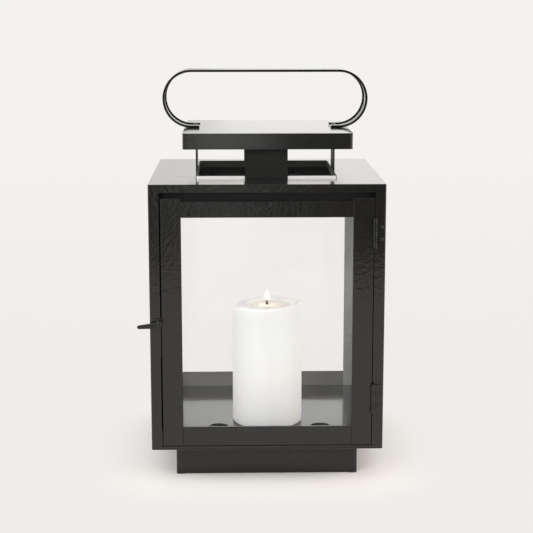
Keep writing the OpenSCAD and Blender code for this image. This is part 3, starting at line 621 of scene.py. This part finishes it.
def room():
    """A pale floor: shaded by the lantern close to it, painted dark as shade under the skirt, and of an
    even tone farther off.
    """
    mesh = bpy.data.meshes.new("floor")
    x, y0, y1 = FLOOR_HALF, FLOOR_NEAR, FLOOR_FAR
    mesh.from_pydata([(-x, y0, 0), (x, y0, 0), (x, y1, 0), (-x, y1, 0)], [], [(0, 1, 2, 3)])
    floor = bpy.data.objects.new("floor", mesh)
    bpy.context.scene.collection.objects.link(floor)
    mat, t = material("pale_floor")
    place = t.add("ShaderNodeTexCoord").outputs["Object"]
    parts = t.add("ShaderNodeSeparateXYZ", Vector=place).outputs
    square = t.math("ADD", t.math("POWER", t.math("ABSOLUTE", parts[0]), 4.0),
                    t.math("POWER", t.math("ABSOLUTE", parts[1]), 4.0))
    reach = t.math("POWER", square, 0.25)
    clear = t.ramp(reach, *SHADE_FADE, smooth=True)
    seen = t.add("ShaderNodeLightPath").outputs
    direct = t.math("MAXIMUM", seen["Is Camera Ray"], seen["Is Transmission Ray"])
    direct = t.math("MAXIMUM", direct, seen["Is Glossy Ray"])
    tone = t.mix(t.ramp(parts[1], *TONE_FADE), WHITE_LOW, WHITE_HIGH)
    grain = t.noise(place, 40.0, 4.0)
    base = t.mix(grain, (0.885, 0.862, 0.835), (0.900, 0.877, 0.850))
    base = t.mix(t.ramp(reach, *SKIRT_EDGE), SHADE_UNDER_SKIRT, base)
    lit = t.add("ShaderNodeBsdfDiffuse", Color=base).outputs[0]
    glow = t.add("ShaderNodeEmission", Color=tone, Strength=1.0).outputs[0]
    share = t.math("MULTIPLY", clear, direct)
    t.out(t.add("ShaderNodeMixShader", Fac=share, i1=lit, i2=glow).outputs[0])
    mesh.materials.append(mat)


# The studio that glossy faces mirror. Each row ramps one part of the ray's direction, X to the right,
# Y away from the camera and Z up: from, to, and the levels at both where they aren't 0 and 1
BACK_WALL_Y = (-0.35, 0.25)
FLANKS_X = (0.35, 0.75)
WHITE_X = (-0.050, 0.020, 0.87, 1.02)
CAP_DIP_X = (-0.005, -0.035, 0.0, 0.20)
CAP_DIP_Z = (0.106, 0.096)
PANEL_LEFT_X = (-0.066, -0.012, 0.15, 1.0)
PANEL_RIGHT_X = (-0.004, 0.042, 1.0, 0.08)
PANEL_LOW_Z = (-0.142, -0.137, 0.88, 0.10)
PANEL_HIGH_Z = (-0.114, -0.100, 0.0, 2.95)
PANEL_TOP_Z = (-0.084, -0.070, 1.0, 0.10)
CEILING_Z = (0.70, 0.97, 0.03, 0.90)
MIRRORED_WHITE = (1.0, 0.985, 0.965)
SOFT_LIGHT = (0.80, 0.795, 0.79)


def sky():
    """White behind and beside the lantern, a soft panel in front of it and a dim ceiling. Only glossy
    rays meet these; the camera meets the backdrop's white and other rays an even light."""
    world = bpy.data.worlds.new("studio")
    bpy.context.scene.world = world
    t = Tree(world)
    ray = t.add("ShaderNodeTexCoord").outputs["Generated"]
    x, y, z = t.add("ShaderNodeSeparateXYZ", Vector=ray).outputs
    seen = t.add("ShaderNodeLightPath").outputs
    back = t.ramp(y, *BACK_WALL_Y, smooth=True)
    flank = t.ramp(t.math("ABSOLUTE", x), *FLANKS_X, smooth=True)
    both = t.math("MAXIMUM", back, flank)
    white = t.math("MULTIPLY", both, t.ramp(x, *WHITE_X, smooth=True))
    dip = t.math("MULTIPLY", t.ramp(x, *CAP_DIP_X), t.ramp(z, *CAP_DIP_Z))
    white = t.math("MULTIPLY", white, t.math("SUBTRACT", 1.0, dip))
    panel = t.math("MULTIPLY", t.ramp(x, *PANEL_LEFT_X, smooth=True),
                   t.ramp(x, *PANEL_RIGHT_X, smooth=True))
    rise = t.math("ADD", t.ramp(z, *PANEL_LOW_Z), t.ramp(z, *PANEL_HIGH_Z, smooth=True))
    rise = t.math("MULTIPLY", rise, t.ramp(z, *PANEL_TOP_Z, smooth=True))
    front = t.math("MULTIPLY_ADD", panel, rise, t.ramp(z, *CEILING_Z, smooth=True))
    level = t.math("ADD", t.math("MULTIPLY", front, t.math("SUBTRACT", 1.0, both)), white)
    mirrored = t.mix(level, (0.0, 0.0, 0.0), MIRRORED_WHITE)
    direct = t.math("MAXIMUM", seen["Is Camera Ray"], seen["Is Transmission Ray"])
    colour = t.mix(seen["Is Glossy Ray"], SOFT_LIGHT, mirrored)
    colour = t.mix(direct, colour, WHITE_HIGH)
    t.out(t.add("ShaderNodeBackground", Color=colour, Strength=1.0).outputs[0], "ShaderNodeOutputWorld")


# Lamps: name, place, aim, size, power, colour, and whether glossy faces mirror them
LAMPS = (
    ("key", (-1.6, -2.6, 1.3), (0.0, 0.0, 0.15), (2.2, 1.8), 45.0, (1.0, 0.99, 0.98), True),
    ("fill", (1.9, -2.2, 1.2), (0.0, 0.0, 0.15), (2.0, 1.6), 22.0, (1.0, 0.93, 0.87), True),
    ("left", (-2.4, -0.3, 1.0), (0.0, 0.0, 0.12), (1.8, 1.4), 21.0, (1.0, 0.99, 0.98), False),
    ("right", (2.4, -0.3, 1.0), (0.0, 0.0, 0.12), (1.8, 1.4), 29.0, (1.0, 0.94, 0.88), False),
)


def lamp(name, at, to, size, power, colour, mirrored):
    """A rectangular lamp at one point, aimed at another."""
    data = bpy.data.lights.new(name, "AREA")
    data.shape = "RECTANGLE"
    data.size, data.size_y = size
    data.energy = power
    data.color = colour
    made = bpy.data.objects.new(name, data)
    bpy.context.scene.collection.objects.link(made)
    made.location = at
    made.rotation_euler = (Vector(to) - Vector(at)).to_track_quat("-Z", "Y").to_euler()
    made.visible_camera = False
    made.visible_glossy = mirrored


room()
sky()
for row in LAMPS:
    lamp(*row)


# Camera
def camera():
    """The photograph's camera, from its fitted place, turn and focal length."""
    yaw, pitch, roll = (math.radians(v) for v in (CAM_YAW, CAM_PITCH, CAM_ROLL))
    forward = Vector((math.sin(yaw) * math.cos(pitch), math.cos(yaw) * math.cos(pitch), -math.sin(pitch)))
    right = Vector((math.cos(yaw), -math.sin(yaw), 0.0))
    up = right.cross(forward)
    r = math.cos(roll) * right + math.sin(roll) * up
    u = -math.sin(roll) * right + math.cos(roll) * up
    data = bpy.data.cameras.new("camera")
    data.sensor_width = SENSOR
    data.sensor_fit = "HORIZONTAL"
    data.lens = LENS
    data.clip_start, data.clip_end = 0.05, 60.0
    made = bpy.data.objects.new("camera", data)
    bpy.context.scene.collection.objects.link(made)
    turn = Matrix((r, u, -forward)).transposed().to_4x4()
    made.matrix_world = Matrix.Translation(Vector(CAM_AT) * MM) @ turn
    bpy.context.scene.camera = made


camera()
bpy.context.scene.view_settings.view_transform = "Standard"
